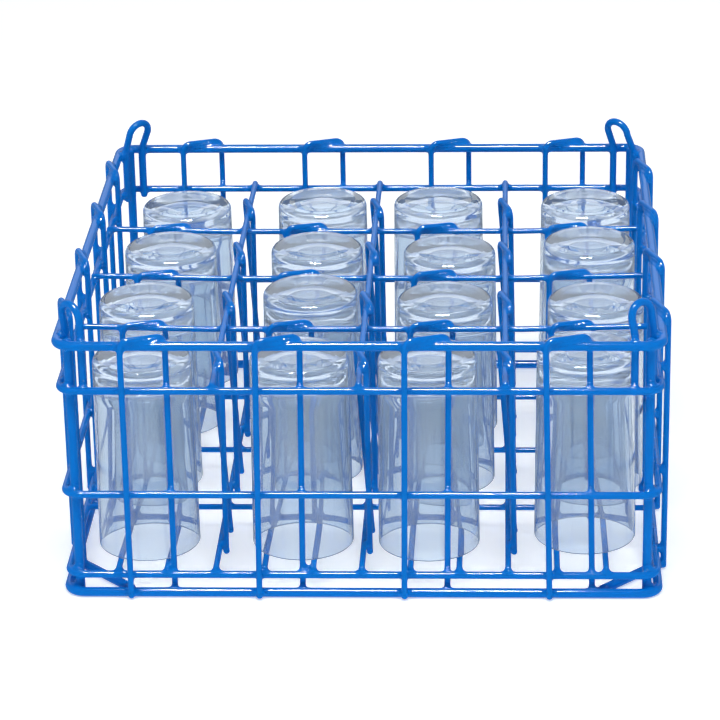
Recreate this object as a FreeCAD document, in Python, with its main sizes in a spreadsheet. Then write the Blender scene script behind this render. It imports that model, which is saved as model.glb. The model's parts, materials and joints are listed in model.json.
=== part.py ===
import FreeCAD, Part
import math
import os
import Sketcher

# Glass washer basket: a coated steel wire basket with sixteen places and the sixteen upturned
# tumblers standing in it.  Millimetres, +Z up, X along the front, the front looks along -Y.
# The origin is the middle of the footprint on the bench.

Vector = FreeCAD.Vector
Rotation = FreeCAD.Rotation
Placement = FreeCAD.Placement

os.makedirs("parts", exist_ok=True)
doc = FreeCAD.newDocument("glass_basket")

# ---------------------------------------------------------------- driving sizes

SIZES = (
    ("ring_half_span", 175.0, "middle of the basket to the rim wire axis"),
    ("corner_bend", 10.0, "bend radius of the rim wire at its axis"),
    ("heavy_wire", 5.6, "coated diameter: rim, base ring, posts, braces"),
    ("band_wire", 4.4, "coated diameter of the three bands"),
    ("ear_wire", 4.5, "coated diameter of the stacking ears"),
    ("thin_wire", 3.6, "coated diameter of hairpins, dividers and floor"),
    ("weld_set", 0.1, "how far a welded wire sets down into the next one"),
    ("rim_height", 160.5, "rim wire axis"),
    ("upper_height", 132.2, "upper band axis"),
    ("middle_height", 66.1, "middle band axis"),
    ("floor_height", 14.1, "floor band axis"),
    ("post_foot", 0.6, "underside of the corner posts"),
    ("ear_reach", 15.0, "stacking ear leg: distance from the corner along the wall"),
    ("ear_foot", 128.0, "underside of the stacking ears"),
    ("ear_shoulder", 175.0, "where the round top of an ear begins"),
    ("ear_bow_radius", 7.8, "round top of an ear, at the wire axis"),
    ("hairpin_half_width", 12.6, "half the distance between hairpin legs"),
    ("hairpin_bend", 5.0, "bend radius of the hairpins at the wire axis"),
    ("wall_leg_foot", 2.2, "underside of the wall hairpins"),
    ("divider_leg_foot", 12.8, "underside of the divider hairpins"),
    ("divider_pitch", 84.6, "spacing of the divider top wires"),
    ("divider_bow", 1.75, "how far crossing divider wires push each other apart"),
    ("floor_pitch", 28.8, "spacing of the lengthwise floor wires"),
    ("cross_floor_pitch", 86.0, "spacing of the crosswise floor wires"),
    ("cross_floor_shift", 4.5, "crosswise floor wires stand this far behind centre"),
    ("wire_overhang", 1.0, "divider and floor wires run this far past the band axis"),
    ("glass_height", 120.6, "tumbler, mouth to foot"),
    ("mouth_radius", 30.4, "tumbler outside radius at the mouth"),
    ("foot_radius", 29.2, "tumbler outside radius at the foot"),
    ("glass_wall", 1.9, "tumbler wall at the mouth"),
    ("bore_end_radius", 26.4, "tumbler inside radius at the thick end"),
    ("base_thickness", 12.5, "glass under the drink"),
    ("punt_radius", 22.0, "shallow hollow under the tumbler foot"),
    ("punt_depth", 2.2, "depth of that hollow"),
    ("heel_round", 4.0, "rounding round the tumbler foot"),
    ("bore_round", 9.0, "rounding at the end of the bore"),
    ("lip_round", 0.8, "fire polished lip"),
    ("glass_gap", 0.3, "clearance of the tumblers over the floor wires"),
)

sheet = doc.addObject("Spreadsheet::Sheet", "sizes")
for row, (alias, value, note) in enumerate(SIZES, start=1):
    sheet.set("A%d" % row, note)
    sheet.set("B%d" % row, str(value))
    sheet.setAlias("B%d" % row, alias)
doc.recompute()


def size(alias):
    return float(sheet.get(alias))


# ---------------------------------------------------------------- helpers

subparts = []


def new_body(label, group=False):
    body = doc.addObject("PartDesign::Body", label)
    body.Label = label
    body.AllowCompound = group
    subparts.append(body)
    return body


def origin_part(body, role):
    for feature in body.Origin.OriginFeatures:
        if feature.Role == role:
            return feature
    raise RuntimeError("no origin feature " + role)


def new_sketch(body, role):
    sketch = body.newObject("Sketcher::SketchObject", body.Name + "_sketch")
    sketch.AttachmentSupport = [(origin_part(body, role), "")]
    sketch.MapMode = "FlatFace"
    return sketch


def circle_sketch(body, role, radius_text, across_text="0", along_text="0"):
    """A wire section: a circle held by its radius and its distances from the origin."""
    sketch = new_sketch(body, role)
    start = Vector(10, 10, 0)
    circle = sketch.addGeometry(Part.Circle(start, Vector(0, 0, 1), 2.0), False)
    spots = (("Radius", radius_text), ("DistanceX", across_text), ("DistanceY", along_text))
    for kind, text in spots:
        if kind == "Radius":
            index = sketch.addConstraint(Sketcher.Constraint("Radius", circle, 2.0))
        elif text == "0":
            other = -2 if kind == "DistanceX" else -1
            sketch.addConstraint(Sketcher.Constraint("PointOnObject", circle, 3, other))
            continue
        else:
            index = sketch.addConstraint(Sketcher.Constraint(kind, -1, 1, circle, 3, 10.0))
        sketch.setExpression("Constraints[%d]" % index, text)
    return sketch


def round_ends(body, feature, radius_text):
    """Round the two cut ends of a rod, as the dipped coating leaves them."""
    names = []
    for number, edge in enumerate(feature.Shape.Edges, start=1):
        if isinstance(edge.Curve, Part.Circle):
            names.append("Edge%d" % number)
    fillet = body.newObject("PartDesign::Fillet", body.Name + "_ends")
    fillet.Base = (feature, names)
    fillet.setExpression("Radius", radius_text)
    doc.recompute()
    return fillet


def straight_rod(label, role, wire, length_text):
    """A straight round wire centred on the origin of its own body."""
    body = new_body(label)
    section = circle_sketch(body, role, "sizes.%s / 2" % wire)
    pad = body.newObject("PartDesign::Pad", body.Name + "_pad")
    pad.Profile = section
    pad.SideType = "Symmetric"
    pad.setExpression("Length", length_text)
    doc.recompute()
    round_ends(body, pad, "sizes.%s * 0.4" % wire)
    return body


def move(body, x="0", y="0", z="0"):
    body.setExpression("Placement.Base.x", x)
    body.setExpression("Placement.Base.y", y)
    body.setExpression("Placement.Base.z", z)


def bent_path(points, bend):
    """A wire path: straight runs through the points, joined by tangent arcs."""
    edges = []
    last = points[0]
    for before, corner, after in zip(points, points[1:], points[2:]):
        back = (before - corner).normalize()
        ahead = (after - corner).normalize()
        half_angle = back.getAngle(ahead) / 2
        trim = bend / math.tan(half_angle)
        inward = (back + ahead).normalize()
        centre = corner + inward * (bend / math.sin(half_angle))
        arc_start = corner + back * trim
        arc_end = corner + ahead * trim
        edges.append(Part.LineSegment(last, arc_start).toShape())
        edges.append(Part.Arc(arc_start, centre - inward * bend, arc_end).toShape())
        last = arc_end
    edges.append(Part.LineSegment(last, points[-1]).toShape())
    return edges


def swept_wire(edges, diameter):
    """A round wire along a bent path, with softly rounded ends."""
    path = Part.Wire(edges)
    first = edges[0]
    start = first.valueAt(first.FirstParameter)
    direction = first.tangentAt(first.FirstParameter)
    section = Part.Wire([Part.makeCircle(diameter / 2, start, direction)])
    rod = path.makePipeShell([section], True, False)
    expected = math.pi * diameter ** 2 / 4 * path.Length
    if abs(rod.Volume - expected) > 0.02 * expected:
        raise RuntimeError("swept wire volume is off")
    ends = []
    for edge in rod.Edges:
        if isinstance(edge.Curve, Part.Circle) and edge.Length > 3.1 * diameter:
            middle = edge.Curve.Center
            if min((middle - start).Length, (middle - path_end(edges)).Length) < 0.01:
                ends.append(edge)
    return rod.makeFillet(diameter * 0.4, ends)


def path_end(edges):
    last = edges[-1]
    return last.valueAt(last.LastParameter)


def wire_part(label, solids):
    feature = doc.addObject("Part::Feature", label)
    feature.Label = label
    feature.Shape = solids[0] if len(solids) == 1 else Part.makeCompound(solids)
    subparts.append(feature)
    return feature


# ---------------------------------------------------------------- rings

HALF = size("ring_half_span")
HEAVY = size("heavy_wire")
BAND = size("band_wire")
THIN = size("thin_wire")
SET = size("weld_set")
INNER_FACE = HALF - HEAVY / 2


def ring(label, wire, height_text):
    """A closed ring with rounded corners; all rings share one inner face."""
    body = new_body(label)
    span_text = "sizes.ring_half_span - sizes.heavy_wire / 2 + sizes.%s / 2" % wire
    bend_text = "sizes.corner_bend - sizes.heavy_wire / 2 + sizes.%s / 2" % wire
    path = new_sketch(body, "XY_Plane")
    span = INNER_FACE + size(wire) / 2
    bend = size("corner_bend") - HEAVY / 2 + size(wire) / 2
    flat = span - bend
    corners = ((span, flat), (flat, span), (-flat, span), (-span, flat),
               (-span, -flat), (-flat, -span), (flat, -span), (span, -flat))
    stops = [Vector(span, 0, 0)] + [Vector(x, y, 0) for x, y in corners] + [Vector(span, 0, 0)]
    chain = []
    for number, (start, end) in enumerate(zip(stops, stops[1:])):
        if number % 2 == 0:
            chain.append(path.addGeometry(Part.LineSegment(start, end), False))
            continue
        centre = Vector(math.copysign(flat, start.x), math.copysign(flat, start.y), 0)
        turn = math.atan2(start.y - centre.y, start.x - centre.x)
        circle = Part.Circle(centre, Vector(0, 0, 1), bend)
        arc = Part.ArcOfCircle(circle, turn, turn + math.pi / 2)
        chain.append(path.addGeometry(arc, False))
    for number, (one, two) in enumerate(zip(chain, chain[1:])):
        path.addConstraint(Sketcher.Constraint("Tangent", one, 2, two, 1))
    path.addConstraint(Sketcher.Constraint("Coincident", chain[-1], 2, chain[0], 1))
    path.addConstraint(Sketcher.Constraint("PointOnObject", chain[0], 1, -1))
    for line in (chain[0], chain[4], chain[8]):
        path.addConstraint(Sketcher.Constraint("Vertical", line))
    for line in (chain[2], chain[6]):
        path.addConstraint(Sketcher.Constraint("Horizontal", line))
    for arc in (chain[3], chain[5], chain[7]):
        path.addConstraint(Sketcher.Constraint("Equal", chain[1], arc))
    held = (
        (Sketcher.Constraint("Radius", chain[1], bend), bend_text),
        (Sketcher.Constraint("DistanceX", -1, 1, chain[0], 1, span), span_text),
        (Sketcher.Constraint("DistanceY", -1, 1, chain[2], 1, span), span_text),
        (Sketcher.Constraint("DistanceX", chain[4], 1, -1, 1, span), span_text),
        (Sketcher.Constraint("DistanceY", chain[6], 1, -1, 1, span), span_text),
    )
    for constraint, text in held:
        index = path.addConstraint(constraint)
        path.setExpression("Constraints[%d]" % index, text)
    section = circle_sketch(body, "XZ_Plane", "sizes.%s / 2" % wire, span_text)
    pipe = body.newObject("PartDesign::AdditivePipe", body.Name + "_pipe")
    pipe.Profile = section
    pipe.Spine = (path, [])
    doc.recompute()
    expected = math.pi * size(wire) ** 2 / 4 * path.Shape.Length
    if abs(body.Shape.Volume - expected) > 0.01 * expected:
        raise RuntimeError(label + " volume is off")
    move(body, z=height_text)
    return body


ring("top_rim", "heavy_wire", "sizes.rim_height")
ring("upper_band", "band_wire", "sizes.upper_height")
ring("middle_band", "band_wire", "sizes.middle_height")
ring("floor_band", "band_wire", "sizes.floor_height")
ring("base_ring", "heavy_wire", "sizes.heavy_wire / 2")

# ---------------------------------------------------------------- corners

SIDES = (("front_left", -1, -1), ("front_right", 1, -1), ("back_left", -1, 1), ("back_right", 1, 1))

# A post nests in the inside of every ring corner, touching all five rings.
post_text = ("sizes.ring_half_span - sizes.corner_bend"
             " + (sizes.corner_bend - sizes.heavy_wire + sizes.weld_set) / sqrt(2)")
post_length = "sizes.rim_height + sizes.heavy_wire * 0.4 - sizes.post_foot"
for corner, side_x, side_y in SIDES:
    post = straight_rod("corner_post_" + corner, "XY_Plane", "heavy_wire", post_length)
    move(post, "%d * (%s)" % (side_x, post_text), "%d * (%s)" % (side_y, post_text),
         "(sizes.rim_height + sizes.heavy_wire * 0.4 + sizes.post_foot) / 2")

# The four corner braces lie level with the base ring and butt against its inner face.  Each
# reaches this far from its corner along both walls.
BRACE_REACH = {"front_left": 39.5, "front_right": 35.0, "back_left": 38.0, "back_right": 35.0}


def corner_brace(corner, side_x, side_y):
    near = INNER_FACE - HEAVY / 2 + SET * 0.6
    far = 2 * HALF - HEAVY / 2 - BRACE_REACH[corner] - near
    height = HEAVY / 2
    start = Vector(side_x * near, side_y * far, height)
    end = Vector(side_x * far, side_y * near, height)
    tip = (end - start).normalize() * (HEAVY / 2)
    return swept_wire(bent_path([start - tip, end + tip], 1.0), HEAVY)


wire_part("corner_braces", [corner_brace(*place) for place in SIDES])

# Stacking ears: each is one bent wire, welded inside the rim and the upper band on both
# sides of a corner.  Their round tops lean a little; the lean is inward, towards the middle.
EAR_WIRE = size("ear_wire")
EAR_LEAN = {"front_left": (-0.9, 0.0), "front_right": (1.8, 1.0),
            "back_left": (3.7, 1.0), "back_right": (4.0, 1.0)}
EAR_REACH = {"front_left": 15.0, "front_right": 16.0, "back_left": 15.0, "back_right": 18.0}


def stacking_ear(corner, side_x, side_y):
    wall_line = INNER_FACE - EAR_WIRE / 2 + SET
    reach_x = HALF - size("ear_reach") - (EAR_REACH[corner] - 15.0)
    reach_y = HALF - size("ear_reach")
    low = size("ear_foot")
    neck = size("rim_height") + HEAVY / 2
    shoulder = size("ear_shoulder")
    lean = EAR_LEAN[corner]
    shift = Vector(-side_x * lean[0], -side_y * lean[1], 0)
    leg_a = Vector(side_x * reach_x, side_y * wall_line, 0)
    leg_b = Vector(side_x * wall_line, side_y * reach_y, 0)
    across = (leg_b - leg_a).normalize()
    middle = (leg_a + leg_b) * 0.5 + shift
    bow = size("ear_bow_radius")
    top_a = middle - across * bow + Vector(0, 0, shoulder)
    top_b = middle + across * bow + Vector(0, 0, shoulder)
    crown = middle + Vector(0, 0, shoulder + bow) + shift * (bow / (shoulder - neck))
    neck_a = leg_a + Vector(0, 0, neck)
    neck_b = leg_b + Vector(0, 0, neck)
    top_edge = Part.Arc(top_a, crown, top_b).toShape()
    rise_a = bent_path([leg_a + Vector(0, 0, low), neck_a, top_a], 20.0)
    rise_b = bent_path([top_b, neck_b, leg_b + Vector(0, 0, low)], 20.0)
    return swept_wire(rise_a + [top_edge] + rise_b, EAR_WIRE)


for corner, side_x, side_y in SIDES:
    wire_part("stacking_ear_" + corner, [stacking_ear(corner, side_x, side_y)])

# ---------------------------------------------------------------- wall hairpins

# One leg of every hairpin runs outside the rings and the other inside, and the bend crosses
# slantwise over the rim.  Each tuple holds the middle of a hairpin along its wall and how far
# its feet stand to the side of that.
HAIRPIN = size("hairpin_half_width")
BEND = size("hairpin_bend")
STEP = HEAVY / 2 + THIN / 2 - SET
WALL_HAIRPINS = {
    "front": ((-124.1, 0.0), (-46.2, -1.8), (39.6, -1.8), (120.3, 3.0)),
    "back": ((-119.8, 0.0), (-37.8, 0.0), (47.4, 0.0), (124.1, 0.0)),
    "left": ((-123.2, 2.0), (-40.1, 0.0), (43.2, 0.0), (124.4, 0.0)),
    "right": ((-123.9, 0.0), (-41.7, 0.0), (45.0, 0.0), (126.5, -1.4)),
}


def wall_hairpin(wall, middle, lean):
    top = size("rim_height") + STEP
    foot = size("wall_leg_foot")
    line = HALF if wall in ("back", "right") else -HALF
    points = (
        (middle - HAIRPIN + lean, line - STEP, foot),
        (middle - HAIRPIN, line - STEP, top),
        (middle + HAIRPIN, line + STEP, top),
        (middle + HAIRPIN + lean, line + STEP, foot),
    )
    if wall in ("front", "back"):
        path = [Vector(along, across, up) for along, across, up in points]
    else:
        path = [Vector(2 * line - across, along, up) for along, across, up in points]
    return swept_wire(bent_path(path, BEND), THIN)


for wall, places in WALL_HAIRPINS.items():
    wire_part("wall_hairpins_" + wall, [wall_hairpin(wall, *place) for place in places])

# ---------------------------------------------------------------- divider top wires

TOUCH = THIN - SET
BOW = size("divider_bow")
DIVIDER = size("divider_pitch")
REST_HEIGHT = size("upper_height") + BAND / 2 + THIN / 2 - SET
RUN = INNER_FACE + BAND / 2 + size("wire_overhang")


def bowed_height(place, sign):
    """Axis height of a divider wire: level on the band, pushed up or down in the middle."""
    reach = abs(place)
    if reach > 165:
        return REST_HEIGHT
    if reach < 95:
        return REST_HEIGHT + sign * BOW
    return REST_HEIGHT + sign * BOW * (165 - reach) / 70


def divider_wire(lengthwise, offset):
    sign = 1 if lengthwise else -1
    path = []
    for place in (-RUN, -165, -95, 95, 165, RUN):
        height = bowed_height(place, sign)
        if lengthwise:
            path.append(Vector(offset, place, height))
        else:
            path.append(Vector(place, offset, height))
    return swept_wire(bent_path(path, 60.0), THIN)


ACROSS = (("left", -1), ("middle", 0), ("right", 1))
DEPTH = (("front", -1), ("middle", 0), ("back", 1))
for name, step in ACROSS:
    wire_part("lengthwise_divider_wire_" + name, [divider_wire(True, step * DIVIDER)])
for name, step in DEPTH:
    wire_part("crosswise_divider_wire_" + name, [divider_wire(False, step * DIVIDER)])

# ---------------------------------------------------------------- divider hairpins

FLOOR_PITCH = size("floor_pitch")
FLOOR_AXIS = size("floor_height") + BAND / 2 + THIN / 2 - SET
CROSSWISE_MIDDLES = (-133.6, -44.9, 40.3, 124.7)
LENGTHWISE_MIDDLES = (-139.0, -53.0, 33.5, 117.0)
LENGTHWISE_DRIFT = 12.0
LENGTHWISE_SPREAD = 1.8


def clear_of_floor_wire(place):
    """Legs that would meet a lengthwise floor wire pass it on its left."""
    nearest = round(place / FLOOR_PITCH) * FLOOR_PITCH
    gap = THIN + 0.15
    if abs(place - nearest) < gap:
        return nearest - gap
    return place


def leg_tip(shoulder, weld):
    """The end of a leg that runs from its shoulder through its weld and a little further."""
    run = weld - shoulder
    return shoulder + run * ((size("divider_leg_foot") - shoulder.z) / run.z)


def crosswise_hairpin(offset, middle, cross_wire):
    top = REST_HEIGHT - BOW + TOUCH
    weld_line = cross_wire - TOUCH
    left = Vector(middle - HAIRPIN, offset - TOUCH, top)
    right = Vector(middle + HAIRPIN, offset + TOUCH, top)
    left_weld = Vector(clear_of_floor_wire(left.x), weld_line, FLOOR_AXIS - TOUCH)
    right_weld = Vector(clear_of_floor_wire(right.x), weld_line, FLOOR_AXIS - TOUCH)
    path = [leg_tip(left, left_weld), left, right, leg_tip(right, right_weld)]
    return swept_wire(bent_path(path, BEND), THIN)


def lengthwise_hairpin(offset, middle, floor_wire):
    top = bowed_height(middle, 1) + TOUCH
    weld_line = floor_wire + TOUCH
    spread = HAIRPIN + LENGTHWISE_SPREAD
    near = Vector(offset + TOUCH, middle - HAIRPIN, top)
    far = Vector(offset - TOUCH, middle + HAIRPIN, top)
    near_weld = Vector(weld_line, middle + LENGTHWISE_DRIFT - spread, FLOOR_AXIS)
    far_weld = Vector(weld_line, middle + LENGTHWISE_DRIFT + spread, FLOOR_AXIS)
    path = [leg_tip(near, near_weld), near, far, leg_tip(far, far_weld)]
    return swept_wire(bent_path(path, BEND), THIN)


for name, step in ACROSS:
    floor_wire = step * 3 * FLOOR_PITCH
    solids = [lengthwise_hairpin(step * DIVIDER, middle, floor_wire)
              for middle in LENGTHWISE_MIDDLES]
    wire_part("lengthwise_divider_hairpins_" + name, solids)
for name, step in DEPTH:
    cross_wire = step * size("cross_floor_pitch") + size("cross_floor_shift")
    solids = [crosswise_hairpin(step * DIVIDER, middle, cross_wire)
              for middle in CROSSWISE_MIDDLES]
    wire_part("crosswise_divider_hairpins_" + name, solids)

# ---------------------------------------------------------------- floor

floor_length = ("2 * (sizes.ring_half_span - (sizes.heavy_wire - sizes.band_wire) / 2"
                " + sizes.wire_overhang)")
floor_axis = "sizes.floor_height + sizes.band_wire / 2 + sizes.thin_wire / 2 - sizes.weld_set"
for number in range(11):
    wire = straight_rod("floor_wire_%02d" % (number + 1), "XZ_Plane", "thin_wire", floor_length)
    move(wire, x="%d * sizes.floor_pitch" % (number - 5), z=floor_axis)

# The crosswise floor wires hang under the lengthwise ones, between the side runs of the band.
cross_length = "2 * (sizes.ring_half_span - sizes.heavy_wire / 2 + 0.15)"
cross_axis = floor_axis + " - sizes.thin_wire + sizes.weld_set"
for name, step in DEPTH:
    wire = straight_rod("floor_cross_wire_" + name, "YZ_Plane", "thin_wire", cross_length)
    move(wire, y="%d * sizes.cross_floor_pitch + sizes.cross_floor_shift" % step, z=cross_axis)

# ---------------------------------------------------------------- tumblers

# Where each tumbler stands in its place: front row first, left to right.
TUMBLER_SPOTS = (
    ((-128.9, -139.4), (-36.5, -137.9), (39.1, -138.9), (132.3, -128.8)),
    ((-135.5, -48.5), (-35.4, -34.5), (47.7, -47.3), (139.8, -48.7)),
    ((-129.3, 41.9), (-35.4, 41.4), (49.2, 35.8), (138.2, 50.4)),
    ((-126.0, 120.3), (-36.4, 127.0), (40.3, 127.7), (137.4, 123.6)),
)
GLASS_OUTLINE = (
    ("sizes.mouth_radius - sizes.glass_wall", "0"),
    ("sizes.mouth_radius", "0"),
    ("sizes.foot_radius", "sizes.glass_height"),
    ("sizes.punt_radius", "sizes.glass_height"),
    ("0", "sizes.glass_height - sizes.punt_depth"),
    ("0", "sizes.glass_height - sizes.base_thickness"),
    ("sizes.bore_end_radius", "sizes.glass_height - sizes.base_thickness"),
)


def glass_points():
    mouth = size("mouth_radius")
    tall = size("glass_height")
    end = tall - size("base_thickness")
    return ((mouth - size("glass_wall"), 0), (mouth, 0), (size("foot_radius"), tall),
            (size("punt_radius"), tall), (0, tall - size("punt_depth")), (0, end),
            (size("bore_end_radius"), end))


def tumbler(label, x, y):
    """An upturned straight tumbler: mouth down at its own origin, thick foot on top."""
    body = new_body(label)
    sketch = new_sketch(body, "XZ_Plane")
    points = [Vector(radius, height, 0) for radius, height in glass_points()]
    lines = []
    for start, end in zip(points, points[1:] + points[:1]):
        lines.append(sketch.addGeometry(Part.LineSegment(start, end), False))
    for one, two in zip(lines, lines[1:] + lines[:1]):
        sketch.addConstraint(Sketcher.Constraint("Coincident", one, 2, two, 1))
    for line, point, texts in zip(lines, points, GLASS_OUTLINE):
        for kind, reach, text, axis in (("DistanceX", point.x, texts[0], -2),
                                        ("DistanceY", point.y, texts[1], -1)):
            if text == "0":
                sketch.addConstraint(Sketcher.Constraint("PointOnObject", line, 1, axis))
                continue
            index = sketch.addConstraint(Sketcher.Constraint(kind, -1, 1, line, 1, reach))
            sketch.setExpression("Constraints[%d]" % index, text)
    turned = body.newObject("PartDesign::Revolution", body.Name + "_turned")
    turned.Profile = sketch
    turned.ReferenceAxis = (sketch, ["V_Axis"])
    turned.Angle = 360
    doc.recompute()
    feature = turned
    rounds = (("heel_round", size("foot_radius"), size("glass_height")),
              ("bore_round", size("bore_end_radius"), size("glass_height") - size("base_thickness")),
              ("lip_round", size("mouth_radius"), 0),
              ("lip_round", size("mouth_radius") - size("glass_wall"), 0))
    for number, (alias, radius, height) in enumerate(rounds):
        names = []
        for index, edge in enumerate(feature.Shape.Edges, start=1):
            if not isinstance(edge.Curve, Part.Circle):
                continue
            if abs(edge.Curve.Radius - radius) < 0.01 and abs(edge.Curve.Center.z - height) < 0.01:
                names.append("Edge%d" % index)
        fillet = body.newObject("PartDesign::Fillet", "%s_round_%d" % (body.Name, number))
        fillet.Base = (feature, names)
        fillet.setExpression("Radius", "sizes." + alias)
        doc.recompute()
        feature = fillet
    move(body, str(x), str(y), floor_axis + " + sizes.thin_wire / 2 + sizes.glass_gap")
    return body


for row, spots in enumerate(TUMBLER_SPOTS, start=1):
    for place, (x, y) in enumerate(spots, start=1):
        tumbler("tumbler_row%d_place%d" % (row, place), x, y)

# ---------------------------------------------------------------- check and write

doc.recompute()
for thing in doc.Objects:
    if "Invalid" in thing.State or "Error" in thing.State:
        raise RuntimeError("bad state: " + thing.Label)
for part in subparts:
    if part.Shape.isNull() or not part.Shape.isValid():
        raise RuntimeError("bad shape: " + part.Label)
for part in subparts:
    part.Shape.exportStep("parts/%s.step" % part.Label)
print(len(subparts), "sub-parts written")
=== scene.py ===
import json
import math

import bmesh
import bpy
from mathutils import Matrix, Vector
from mathutils.bvhtree import BVHTree

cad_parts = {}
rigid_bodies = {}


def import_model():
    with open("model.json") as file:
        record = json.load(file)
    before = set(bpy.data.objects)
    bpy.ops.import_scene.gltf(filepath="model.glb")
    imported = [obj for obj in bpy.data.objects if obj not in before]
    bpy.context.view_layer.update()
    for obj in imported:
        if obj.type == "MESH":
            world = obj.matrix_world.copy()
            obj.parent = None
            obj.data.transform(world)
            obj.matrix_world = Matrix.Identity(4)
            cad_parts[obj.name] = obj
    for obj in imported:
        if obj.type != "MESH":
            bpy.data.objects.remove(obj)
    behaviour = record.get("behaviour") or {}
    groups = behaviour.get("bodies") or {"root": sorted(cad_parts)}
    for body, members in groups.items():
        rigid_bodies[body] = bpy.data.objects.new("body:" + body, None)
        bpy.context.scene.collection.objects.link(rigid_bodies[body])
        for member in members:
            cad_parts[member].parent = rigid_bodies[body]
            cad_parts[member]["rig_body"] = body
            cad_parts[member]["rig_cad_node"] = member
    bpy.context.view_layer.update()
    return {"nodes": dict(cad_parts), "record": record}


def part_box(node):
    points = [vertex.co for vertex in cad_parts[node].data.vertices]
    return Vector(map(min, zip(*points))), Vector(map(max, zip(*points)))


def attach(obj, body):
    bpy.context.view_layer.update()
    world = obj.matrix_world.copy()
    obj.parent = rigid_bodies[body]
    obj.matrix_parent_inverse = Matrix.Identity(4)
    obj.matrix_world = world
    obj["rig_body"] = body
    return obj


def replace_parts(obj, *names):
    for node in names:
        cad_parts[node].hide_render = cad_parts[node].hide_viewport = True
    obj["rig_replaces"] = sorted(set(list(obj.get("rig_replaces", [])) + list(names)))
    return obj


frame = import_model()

bl_info = {
    "name": "Glass washer basket",
    "version": (1, 0, 0),
    "blender": (4, 5, 0),
    "location": "3D View > Sidebar > Basket",
    "description": "Dipped wire basket with sixteen upturned tumblers",
    "category": "Object",
}

MM = 0.001
BASKET = "basket"
WIRE_NODES = frame["record"]["behaviour"]["bodies"][BASKET]
TUMBLERS = [name for name in frame["nodes"] if name.startswith("tumbler")]
LOWEST = [min(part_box(name)[0][axis] for name in WIRE_NODES) for axis in range(3)]
HIGHEST = [max(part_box(name)[1][axis] for name in WIRE_NODES) for axis in range(3)]

SAME_POINT = 0.01 * MM          # points nearer than this are joined
CREASE = math.radians(50)       # a sharper edge of a wire stays sharp

LEG_RADIUS = 1.8 * MM           # of a hairpin's wire, over the coating
LEG_TIP = 2.2 * MM              # how much of a leg's lower end is looked at
LEGS_APART = 7 * MM             # two legs' ends are further apart than this
BEAD_CLEARANCE = 0.4 * MM       # a drip bead hangs at least this far over the floor
COATING_SINK = 0.05 * MM        # the settled coating lies this far inside a plain wire
LAST_SETTLE = 2                 # smoothing passes after it has sunk
WIRE_REACH = 4 * MM             # gathered coating is never further than this from a wire
LONG_PATCH = 9000               # faces of a patch that is shared out between the sides
WALL_SHARE = 0.9                # the walls begin at this share of the basket's half width
LOW_HEIGHT = 30 * MM            # the floor wires and the rings under them are below this

PUNT_CROWN = 30 * MM            # roundings of a tumbler's profile
PUNT_EDGE = 1.6 * MM
LIP_ROUND = 0.8 * MM
FLOOR_DROP = 0.2 * MM           # the studio floor lies this far under the base ring


# ---------------------------------------------------------------- small helpers

def linear(hex_text):
    """An sRGB hex colour as linear red, green, blue, alpha."""
    text = hex_text.lstrip("#")
    parts = [int(text[i:i + 2], 16) / 255 for i in (0, 2, 4)]
    return tuple(c / 12.92 if c <= 0.04045 else ((c + 0.055) / 1.055) ** 2.4 for c in parts) + (1.0,)


def node(tree, kind, links=None, **settings):
    """Adds a shader node, sets its fields and sockets, and links named sockets to it."""
    made = tree.nodes.new(kind)
    for name, value in settings.items():
        if hasattr(made, name):
            setattr(made, name, value)
        else:
            made.inputs[name.replace("_", " ")].default_value = value
    for name, source in (links or {}).items():
        tree.links.new(source, made.inputs[name])
    return made


def select_only(*objects):
    """Selects only these objects, the first one active."""
    bpy.ops.object.select_all(action="DESELECT")
    for thing in objects:
        thing.select_set(True)
    bpy.context.view_layer.objects.active = objects[0]


def edit(thing):
    """Opens a piece in edit mode with all its points selected."""
    select_only(thing)
    bpy.ops.object.mode_set(mode="EDIT")
    bpy.ops.mesh.select_mode(type="VERT")
    bpy.ops.mesh.select_all(action="SELECT")


def done():
    """Leaves edit mode."""
    bpy.ops.object.mode_set(mode="OBJECT")


def copy_of(source, name):
    """An own-mesh copy of an object, free of the frame's marks."""
    select_only(source)
    bpy.ops.object.duplicate(linked=False)
    piece = bpy.context.view_layer.objects.active
    piece.name = name
    piece.data.name = name
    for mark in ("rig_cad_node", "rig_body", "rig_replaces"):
        if mark in piece:
            del piece[mark]
    return piece


def modify(piece, kind, **settings):
    """Adds a modifier and applies it."""
    select_only(piece)
    modifier = piece.modifiers.new(kind.lower(), kind)
    for name, value in settings.items():
        setattr(modifier, name, value)
    bpy.ops.object.modifier_apply(modifier=modifier.name)


def paint(piece, material):
    """Gives a piece its one material."""
    piece.data.materials.clear()
    piece.data.materials.append(material)


# ---------------------------------------------------------------- materials

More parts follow.
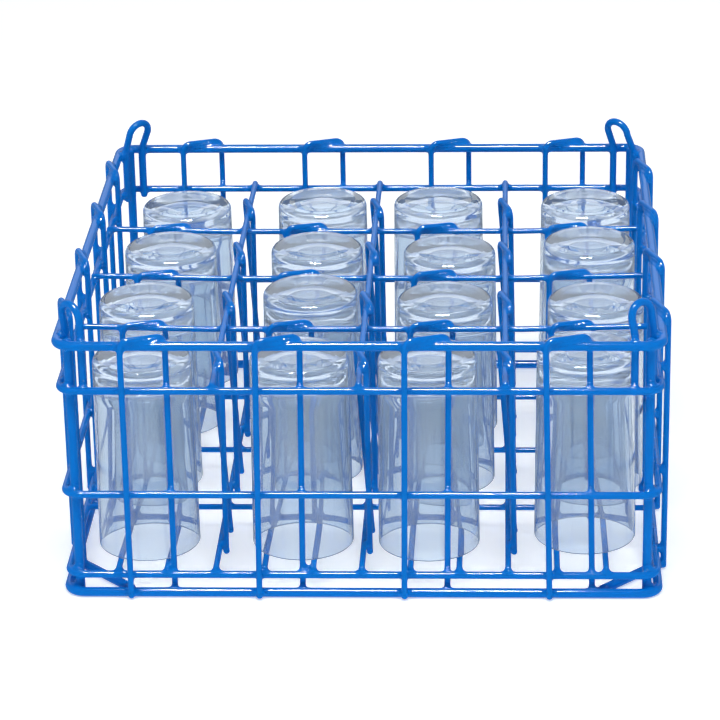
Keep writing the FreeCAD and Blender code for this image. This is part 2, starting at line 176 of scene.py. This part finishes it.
def dipped_plastic(look):
    """Plastisol dip coating on steel wire: thick, soft, glossy PVC that flowed before it set.

    The eye sees a saturated blue with a hard white line of gloss, faintly uneven where it ran.
    """
    material = bpy.data.materials.new("plastisol_dip_coating")
    material.use_nodes = True
    tree = material.node_tree
    shader = tree.nodes["Principled BSDF"]
    shader.inputs["IOR"].default_value = 1.53
    shader.inputs["Specular IOR Level"].default_value = 0.22
    place = node(tree, "ShaderNodeTexCoord").outputs["Object"]
    # thickness of the dip changes over about 25 mm: a shade deeper where it is thick
    cloud = node(tree, "ShaderNodeTexNoise", {"Vector": place}, Scale=40.0, Detail=2.0)
    shade = node(tree, "ShaderNodeMix", {"Factor": cloud.outputs["Fac"]}, data_type="RGBA")
    shade.inputs["A"].default_value = linear(look.coating_deep)
    shade.inputs["B"].default_value = linear(look.coating)
    # dust and rinse marks, 1 to 2 mm, dull the gloss a little
    marks = node(tree, "ShaderNodeTexNoise", {"Vector": place}, Scale=700.0, Detail=3.0)
    gloss = node(tree, "ShaderNodeMapRange", {"Value": marks.outputs["Fac"]})
    gloss.inputs["To Min"].default_value = 0.05
    gloss.inputs["To Max"].default_value = 0.09
    # runs and sags in the coating: 6 mm swells with a finer ripple over them
    swell = node(tree, "ShaderNodeTexNoise", {"Vector": place}, Scale=160.0, Detail=2.0)
    bump = node(tree, "ShaderNodeBump", {"Height": swell.outputs["Fac"]},
                Strength=0.12, Distance=0.0005)
    tree.links.new(shade.outputs["Result"], shader.inputs["Base Color"])
    tree.links.new(gloss.outputs["Result"], shader.inputs["Roughness"])
    tree.links.new(bump.outputs["Normal"], shader.inputs["Normal"])
    return material


def soda_glass(look):
    """Pressed soda-lime tumbler glass: clear, faint blue-grey, with slow waves from the mould."""
    material = bpy.data.materials.new("pressed_soda_lime_glass")
    material.use_nodes = True
    tree = material.node_tree
    shader = tree.nodes["Principled BSDF"]
    shader.inputs["Roughness"].default_value = 0.0
    shader.inputs["IOR"].default_value = 1.52
    # what isn't passed on is a veil of fine scratches and rinse film, which dulls what is behind
    shader.inputs["Transmission Weight"].default_value = 0.88
    place = node(tree, "ShaderNodeTexCoord").outputs["Object"]
    tint = node(tree, "ShaderNodeTexNoise", {"Vector": place}, Scale=30.0, Detail=1.0)
    shade = node(tree, "ShaderNodeMix", {"Factor": tint.outputs["Fac"]}, data_type="RGBA")
    shade.inputs["A"].default_value = linear(look.glass)
    shade.inputs["B"].default_value = linear(look.glass_pale)
    # pressing leaves slow waves, about 8 mm across and 50 mm up the wall
    squash = node(tree, "ShaderNodeMapping", {"Vector": place})
    squash.inputs["Scale"].default_value = (1.0, 1.0, 0.16)
    wave = node(tree, "ShaderNodeTexNoise", {"Vector": squash.outputs["Vector"]},
                Scale=120.0, Detail=1.0)
    bump = node(tree, "ShaderNodeBump", {"Height": wave.outputs["Fac"]},
                Strength=0.1, Distance=0.0005)
    tree.links.new(shade.outputs["Result"], shader.inputs["Base Color"])
    tree.links.new(bump.outputs["Normal"], shader.inputs["Normal"])
    return material


def matt_floor(look):
    """White studio paper: matt, without a grain that shows. It gives a little light itself."""
    material = bpy.data.materials.new("white_studio_paper")
    material.use_nodes = True
    tree = material.node_tree
    shader = tree.nodes["Principled BSDF"]
    shader.inputs["Roughness"].default_value = 0.9
    shader.inputs["Specular IOR Level"].default_value = 0.0
    shader.inputs["Base Color"].default_value = linear(look.paper)
    shader.inputs["Emission Color"].default_value = linear(look.paper)
    shader.inputs["Emission Strength"].default_value = look.paper_glow
    return material


# ---------------------------------------------------------------- settings

class BasketLook(bpy.types.PropertyGroup):
    coating: bpy.props.StringProperty(
        name="Coating", description="Colour of the dip", default="#0079d4")
    coating_deep: bpy.props.StringProperty(
        name="Coating, thick", description="Colour where the dip is thick", default="#0071c8")
    glass: bpy.props.StringProperty(name="Glass", description="Tint of the glass", default="#e3eef8")
    glass_pale: bpy.props.StringProperty(
        name="Glass, pale", description="Tint where it is palest", default="#e8f1f9")
    paper: bpy.props.StringProperty(name="Paper", description="Studio floor", default="#fdfbf6")
    paper_glow: bpy.props.FloatProperty(
        name="Paper glow", description="Light that the floor gives by itself", default=0.44, min=0.0)
    sky_tint: bpy.props.StringProperty(
        name="Sky tint", description="Colour of the light from all round", default="#d2e4ff")


class CoatingSizes(bpy.types.PropertyGroup):
    grain: bpy.props.FloatProperty(
        name="Grain", description="Size of the cells the coating is worked out on",
        default=0.75 * MM, unit="LENGTH")
    swell: bpy.props.FloatProperty(
        name="Reach", description="How far apart two wires may be for the coating to bridge them",
        default=0.9 * MM, unit="LENGTH")
    settle: bpy.props.IntProperty(
        name="Settling", description="Smoothing passes as the dip flows", default=8, min=1)
    settle_loss: bpy.props.FloatProperty(
        name="Settling loss", description="What the smoothing takes off a wire",
        default=0.16 * MM, unit="LENGTH")
    fewest: bpy.props.IntProperty(
        name="Smallest patch", description="Faces that a patch of gathered coating has at least",
        default=40, min=1)
    proud: bpy.props.FloatProperty(
        name="Least height", description="Coating that stands out of a wire by less is left out",
        default=0.07 * MM, unit="LENGTH")
    thin_out: bpy.props.FloatProperty(
        name="Thinning", description="Share of the faces of gathered coating that is kept",
        default=0.6, min=0.05, max=1.0)
    skin: bpy.props.FloatProperty(
        name="Skin", description="Thickness that a patch of gathered coating is given",
        default=0.25 * MM, unit="LENGTH")
    bead: bpy.props.FloatProperty(
        name="Drip bead", description="Radius of the drip at a wire's lower end, in wire radii",
        default=1.22, min=1.0)


class TumblerSizes(bpy.types.PropertyGroup):
    wall: bpy.props.FloatProperty(
        name="Wall", description="Glass wall at the mouth", default=1.9 * MM, unit="LENGTH")
    foot_inset: bpy.props.FloatProperty(
        name="Foot inset", description="Mouth radius less foot radius", default=1.2 * MM, unit="LENGTH")
    base: bpy.props.FloatProperty(
        name="Base", description="Glass under the drink", default=12.5 * MM, unit="LENGTH")
    bore_inset: bpy.props.FloatProperty(
        name="Bore inset", description="Mouth radius less bore end radius", default=4.0 * MM,
        unit="LENGTH")
    punt_radius: bpy.props.FloatProperty(
        name="Punt radius", description="Hollow under the foot", default=22.0 * MM, unit="LENGTH")
    punt_depth: bpy.props.FloatProperty(
        name="Punt depth", description="Depth of that hollow", default=2.2 * MM, unit="LENGTH")
    heel: bpy.props.FloatProperty(
        name="Heel", description="Rounding round the foot", default=4.0 * MM, unit="LENGTH")
    bore_round: bpy.props.FloatProperty(
        name="Bore rounding", description="Rounding at the end of the bore", default=14.0 * MM,
        unit="LENGTH")
    steps: bpy.props.IntProperty(name="Steps", description="Facets round a tumbler", default=96, min=24)


class StudioSizes(bpy.types.PropertyGroup):
    floor: bpy.props.FloatProperty(name="Floor", description="Width of the floor", default=16.0,
                                   unit="LENGTH")
    camera_at: bpy.props.FloatVectorProperty(
        name="Camera", description="Where the camera stands", default=(0.08442, -1.87119, 0.85979),
        subtype="TRANSLATION", unit="LENGTH")
    yaw: bpy.props.FloatProperty(name="Yaw", description="Camera turned right", subtype="ANGLE",
                                 default=math.radians(-2.8055))
    pitch: bpy.props.FloatProperty(name="Pitch", description="Camera tipped down", subtype="ANGLE",
                                   default=math.radians(22.627))
    roll: bpy.props.FloatProperty(name="Roll", description="Camera rolled", subtype="ANGLE",
                                  default=math.radians(-1.0713))
    lens: bpy.props.FloatProperty(name="Lens", description="Focal length in millimetres on a 36 mm"
                                  " sensor", default=160.19, min=1.0)
    sky: bpy.props.FloatProperty(name="Sky", description="Strength of the light from all round",
                                 default=0.4, min=0.0)


# ---------------------------------------------------------------- coated wires

def wire_piece(name, coat):
    """A wire of the basket, with its facets joined and its coating smooth."""
    piece = copy_of(frame["nodes"][name], name + "_coated")
    edit(piece)
    bpy.ops.mesh.remove_doubles(threshold=SAME_POINT)
    done()
    select_only(piece)
    bpy.ops.object.shade_smooth_by_angle(angle=CREASE)
    paint(piece, coat)
    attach(piece, BASKET)
    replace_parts(piece, name)


class BASKET_OT_wires(bpy.types.Operator):
    """Makes every welded wire of the basket, smooth and coated"""

    bl_idname = "basket.wires"
    bl_label = "Coated wires"

    def execute(self, context):
        coat = dipped_plastic(context.scene.basket_look)
        for name in WIRE_NODES:
            wire_piece(name, coat)
        return {"FINISHED"}


def leg_ends(name):
    """The middles of the lower ends of the legs in a node."""
    piece = copy_of(bpy.data.objects[name + "_coated"], "ends")
    edit(piece)
    bpy.ops.mesh.separate(type="LOOSE")
    done()
    wires = list(bpy.context.selected_objects)
    ends = []
    for wire in wires:
        low = min(v.co.z for v in wire.data.vertices)
        tips = [v.co.copy() for v in wire.data.vertices if v.co.z < low + LEG_TIP]
        while tips:
            group = [p for p in tips if (p - tips[0]).length < LEGS_APART]
            tips = [p for p in tips if (p - tips[0]).length >= LEGS_APART]
            ends.append(sum(group, Vector()) / len(group))
    bpy.ops.object.delete()
    return ends


def drip_beads(radius):
    """A round bead at the lower end of every hairpin leg, before the coating settles over it."""
    beads = []
    for name in WIRE_NODES:
        if "hairpins" not in name:
            continue
        for end in leg_ends(name):
            end.z = max(end.z, radius + BEAD_CLEARANCE)
            bpy.ops.mesh.primitive_ico_sphere_add(subdivisions=2, radius=radius, location=end)
            beads.append(bpy.context.view_layer.objects.active)
    return beads


def outside_wires(piece, wires, least, fewest):
    """Keeps the coating that stands out of the wires by more than least, in patches of some size.

    Returns the numbers of the faces that are kept, by the part of the basket that they are on.
    """
    shell = bmesh.new()
    shell.from_mesh(wires.data)
    tree = BVHTree.FromBMesh(shell)
    work = bmesh.new()
    work.from_mesh(piece.data)
    proud = [False] * len(work.verts)
    for vertex in work.verts:
        place, normal, _, _ = tree.find_nearest(vertex.co, WIRE_REACH)
        proud[vertex.index] = place is not None and (vertex.co - place).dot(normal) > least
        for axis in range(3):
            vertex.co[axis] = min(max(vertex.co[axis], LOWEST[axis]), HIGHEST[axis])
    hidden = [f for f in work.faces if not any(proud[v.index] for v in f.verts)]
    bmesh.ops.delete(work, geom=hidden, context="FACES")
    specks = [f for patch in patches(work) if len(patch) < fewest for f in patch]
    bmesh.ops.delete(work, geom=specks, context="FACES")
    work.faces.index_update()
    sides = {}
    for patch in patches(work):
        middle = sum((f.calc_center_median() for f in patch), Vector()) / len(patch)
        for face in patch:
            # a patch stays whole, unless it runs along a good part of the basket
            place = middle if len(patch) < LONG_PATCH else face.calc_center_median()
            sides.setdefault(side_of(place), set()).add(face.index)
    work.to_mesh(piece.data)
    work.free()
    shell.free()
    return sides


def patches(work):
    """Groups of faces that hang together."""
    left = set(work.faces)
    while left:
        patch = [left.pop()]
        for face in patch:
            for edge in face.edges:
                for other in edge.link_faces:
                    if other in left:
                        left.remove(other)
                        patch.append(other)
        yield patch


def side_of(place):
    """Which part of the basket a place belongs to."""
    edge = WALL_SHARE * HIGHEST[0]
    if abs(place.y) > edge and abs(place.y) >= abs(place.x):
        return "front" if place.y < 0 else "back"
    if abs(place.x) > edge:
        return "left" if place.x < 0 else "right"
    return "low" if place.z < LOW_HEIGHT else "middle"


def keep_faces(piece, numbers):
    """Takes away every face of a piece but these."""
    work = bmesh.new()
    work.from_mesh(piece.data)
    spare = [f for f in work.faces if f.index not in numbers]
    bmesh.ops.delete(work, geom=spare, context="FACES")
    work.to_mesh(piece.data)
    work.free()


class BASKET_OT_webs(bpy.types.Operator):
    """Fills the crossings of the wires with the coating that gathers there"""

    bl_idname = "basket.webs"
    bl_label = "Coating at the welds"

    def execute(self, context):
        sizes = context.scene.basket_coating
        wires = [copy_of(bpy.data.objects[name + "_coated"], "wires") for name in WIRE_NODES]
        select_only(*wires)
        bpy.ops.object.join()
        plain = bpy.context.view_layer.objects.active
        coating = copy_of(plain, "coating_webs")
        select_only(coating, *drip_beads(LEG_RADIUS * sizes.bead))
        bpy.ops.object.join()
        modify(coating, "DISPLACE", strength=sizes.swell, mid_level=0.0)
        modify(coating, "REMESH", mode="VOXEL", voxel_size=sizes.grain)
        modify(coating, "SMOOTH", factor=0.5, iterations=sizes.settle)
        modify(coating, "DISPLACE", strength=sizes.settle_loss - sizes.swell - COATING_SINK,
               mid_level=0.0)
        modify(coating, "SMOOTH", factor=0.5, iterations=LAST_SETTLE)
        sides = outside_wires(coating, plain, sizes.proud, sizes.fewest)
        coat = bpy.data.materials["plastisol_dip_coating"]
        for side, numbers in sorted(sides.items()):
            piece = copy_of(coating, "coating_webs_" + side)
            keep_faces(piece, numbers)
            modify(piece, "DECIMATE", ratio=sizes.thin_out)
            # the skin gets an inside and a rim, which lie at the wires' surface or just under it
            modify(piece, "SOLIDIFY", thickness=sizes.skin, offset=-1.0, use_rim=True)
            select_only(piece)
            bpy.ops.object.shade_smooth()
            paint(piece, coat)
            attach(piece, BASKET)
        bpy.data.objects.remove(plain)
        bpy.data.objects.remove(coating)
        return {"FINISHED"}


# ---------------------------------------------------------------- tumblers

def profile(corners):
    """An open line through the corners, (radius, height) each, made by extruding one point."""
    bpy.ops.object.select_all(action="DESELECT")
    bpy.ops.mesh.primitive_plane_add(size=1.0, location=(0, 0, 0))
    line = bpy.context.view_layer.objects.active
    edit(line)
    bpy.ops.mesh.merge(type="CENTER")
    here = Vector((0, 0, 0))
    for number, (radius, height) in enumerate(corners):
        there = Vector((radius, 0, height))
        if number == 0:
            bpy.ops.transform.translate(value=there - here)
        else:
            bpy.ops.mesh.extrude_region_move(TRANSFORM_OT_translate={"value": there - here})
        here = there
    done()
    return line


def rounded(corners, rounds):
    """The corners of a profile with some of them rounded, as a list of points."""
    points = []
    for number, corner in enumerate(corners):
        radius = rounds.get(number)
        if not radius:
            points.append(corner)
            continue
        here = Vector(corner)
        back = (Vector(corners[number - 1]) - here).normalized()
        ahead = (Vector(corners[number + 1]) - here).normalized()
        half = back.angle(ahead) / 2
        trim = radius / math.tan(half)
        centre = here + (back + ahead).normalized() * (radius / math.sin(half))
        start = here + back * trim - centre
        end = here + ahead * trim - centre
        turn = start.angle_signed(end)
        count = max(4, int(abs(turn) / math.radians(9)))
        for step in range(count + 1):
            angle = -turn * step / count
            spoke = Matrix.Rotation(angle, 2) @ start
            points.append(tuple(centre + spoke))
    return points


def tumbler_piece(name, sizes, glass):
    """Turns a tumbler, foot up, in its CAD node's place: foot, wall, lip, bore and bore end."""
    low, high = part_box(name)
    mouth = (high[0] - low[0]) / 2
    tall = high[2] - low[2]
    foot = mouth - sizes.foot_inset
    bore = mouth - sizes.bore_inset
    crown = tall - sizes.base
    corners = [(0.0, tall - sizes.punt_depth), (sizes.punt_radius * 0.55, tall - sizes.punt_depth * 0.9),
               (sizes.punt_radius, tall), (foot, tall),
               (mouth, 0.0), (mouth - sizes.wall, 0.0),
               (bore, crown), (bore * 0.4, crown + 0.3 * MM), (0.0, crown + 0.4 * MM)]
    rounds = {1: PUNT_CROWN, 2: PUNT_EDGE, 3: sizes.heel,
              4: LIP_ROUND, 5: LIP_ROUND, 6: sizes.bore_round}
    line = profile(rounded(corners, rounds))
    line.name = name + "_glass"
    edit(line)
    bpy.ops.mesh.spin(steps=sizes.steps, angle=math.tau, center=(0, 0, 0), axis=(0, 0, 1))
    bpy.ops.mesh.select_all(action="SELECT")
    bpy.ops.mesh.remove_doubles(threshold=SAME_POINT)
    bpy.ops.mesh.normals_make_consistent(inside=False)
    bpy.ops.transform.translate(value=((low[0] + high[0]) / 2, (low[1] + high[1]) / 2, low[2]))
    done()
    select_only(line)
    bpy.ops.object.shade_smooth()
    paint(line, glass)
    return line


class BASKET_OT_tumblers(bpy.types.Operator):
    """Turns the tumblers and stands one, mouth down, in each place"""

    bl_idname = "basket.tumblers"
    bl_label = "Tumblers"

    def execute(self, context):
        glass = soda_glass(context.scene.basket_look)
        first = None
        start = Vector()
        for name in TUMBLERS:
            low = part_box(name)[0]
            if first is None:
                first = tumbler_piece(name, context.scene.basket_tumbler, glass)
                piece = first
                start = low
            else:
                piece = copy_of(first, name + "_glass")
                piece.parent = None
                edit(piece)
                bpy.ops.transform.translate(value=low - start)
                done()
            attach(piece, name)
            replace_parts(piece, name)
        return {"FINISHED"}


# ---------------------------------------------------------------- studio

def softbox(name, at, size, watts):
    """A soft rectangular light that faces the basket."""
    bpy.ops.object.light_add(type="AREA", location=at)
    lamp = bpy.context.view_layer.objects.active
    lamp.name = name
    lamp.data.shape = "RECTANGLE"
    lamp.data.size, lamp.data.size_y = size
    lamp.data.energy = watts
    basket_middle = Vector((0, 0, 0.1))
    lamp.rotation_euler = (basket_middle - Vector(at)).to_track_quat("-Z", "Y").to_euler()
    return lamp


def set_camera(context, studio):
    """Stands the camera in its place, turned, tipped and rolled."""
    camera = bpy.data.cameras.new("camera")
    eye = bpy.data.objects.new("camera", camera)
    context.scene.collection.objects.link(eye)
    ahead = Vector((math.sin(studio.yaw) * math.cos(studio.pitch),
                    math.cos(studio.yaw) * math.cos(studio.pitch), -math.sin(studio.pitch)))
    level = Vector((math.cos(studio.yaw), -math.sin(studio.yaw), 0))
    upright = level.cross(ahead)
    right = math.cos(studio.roll) * level + math.sin(studio.roll) * upright
    up = -math.sin(studio.roll) * level + math.cos(studio.roll) * upright
    turn = Matrix((right, up, -ahead)).transposed().to_4x4()
    eye.matrix_world = Matrix.Translation(studio.camera_at) @ turn
    camera.sensor_width = 36.0
    camera.lens = studio.lens
    camera.clip_end = 60.0
    context.scene.camera = eye


class BASKET_OT_studio(bpy.types.Operator):
    """Sets the floor, the soft lights and the camera"""

    bl_idname = "basket.studio"
    bl_label = "Studio"

    def execute(self, context):
        studio = context.scene.basket_studio
        look = context.scene.basket_look
        bpy.ops.object.select_all(action="DESELECT")
        bpy.ops.mesh.primitive_plane_add(size=studio.floor, location=(0, 0, -FLOOR_DROP))
        floor = bpy.context.view_layer.objects.active
        floor.name = "studio_floor"
        floor.data.materials.append(matt_floor(look))
        floor.visible_glossy = False
        world = bpy.data.worlds.new("studio")
        world.use_nodes = True
        sky = world.node_tree.nodes["Background"]
        sky.inputs["Color"].default_value = linear(look.sky_tint)
        sky.inputs["Strength"].default_value = studio.sky
        context.scene.world = world
        context.scene.view_settings.view_transform = "Standard"
        key = softbox("softbox_top", at=(0.0, -0.75, 1.75), size=(2.8, 0.6), watts=26.0)
        key.visible_glossy = False
        key.visible_transmission = False
        softbox("softbox_back", at=(0.0, 3.0, 1.6), size=(4.0, 1.6), watts=15.0)
        gleam = softbox("gloss_strip", at=(-0.08, -0.72, 1.8), size=(0.74, 0.36), watts=150.0)
        gleam.visible_diffuse = False
        set_camera(context, studio)
        return {"FINISHED"}


# ---------------------------------------------------------------- panel and run

STEPS = (BASKET_OT_wires, BASKET_OT_webs, BASKET_OT_tumblers, BASKET_OT_studio)


class BASKET_PT_panel(bpy.types.Panel):
    """Lists the steps in the order they are run"""

    bl_idname = "BASKET_PT_panel"
    bl_label = "Glass washer basket"
    bl_space_type = "VIEW_3D"
    bl_region_type = "UI"
    bl_category = "Basket"

    def draw(self, context):
        for step in STEPS:
            self.layout.operator(step.bl_idname)


SETTINGS = {"basket_look": BasketLook, "basket_coating": CoatingSizes,
            "basket_tumbler": TumblerSizes, "basket_studio": StudioSizes}
CLASSES = tuple(SETTINGS.values()) + STEPS + (BASKET_PT_panel,)


def register():
    for each in CLASSES:
        bpy.utils.register_class(each)
    for name, group in SETTINGS.items():
        setattr(bpy.types.Scene, name, bpy.props.PointerProperty(type=group))


def unregister():
    for name in SETTINGS:
        delattr(bpy.types.Scene, name)
    for each in reversed(CLASSES):
        bpy.utils.unregister_class(each)


def main():
    """Builds the basket, its tumblers and the studio."""
    register()
    bpy.ops.basket.wires()
    bpy.ops.basket.webs()
    bpy.ops.basket.tumblers()
    bpy.ops.basket.studio()


if __name__ == "__main__":
    main()
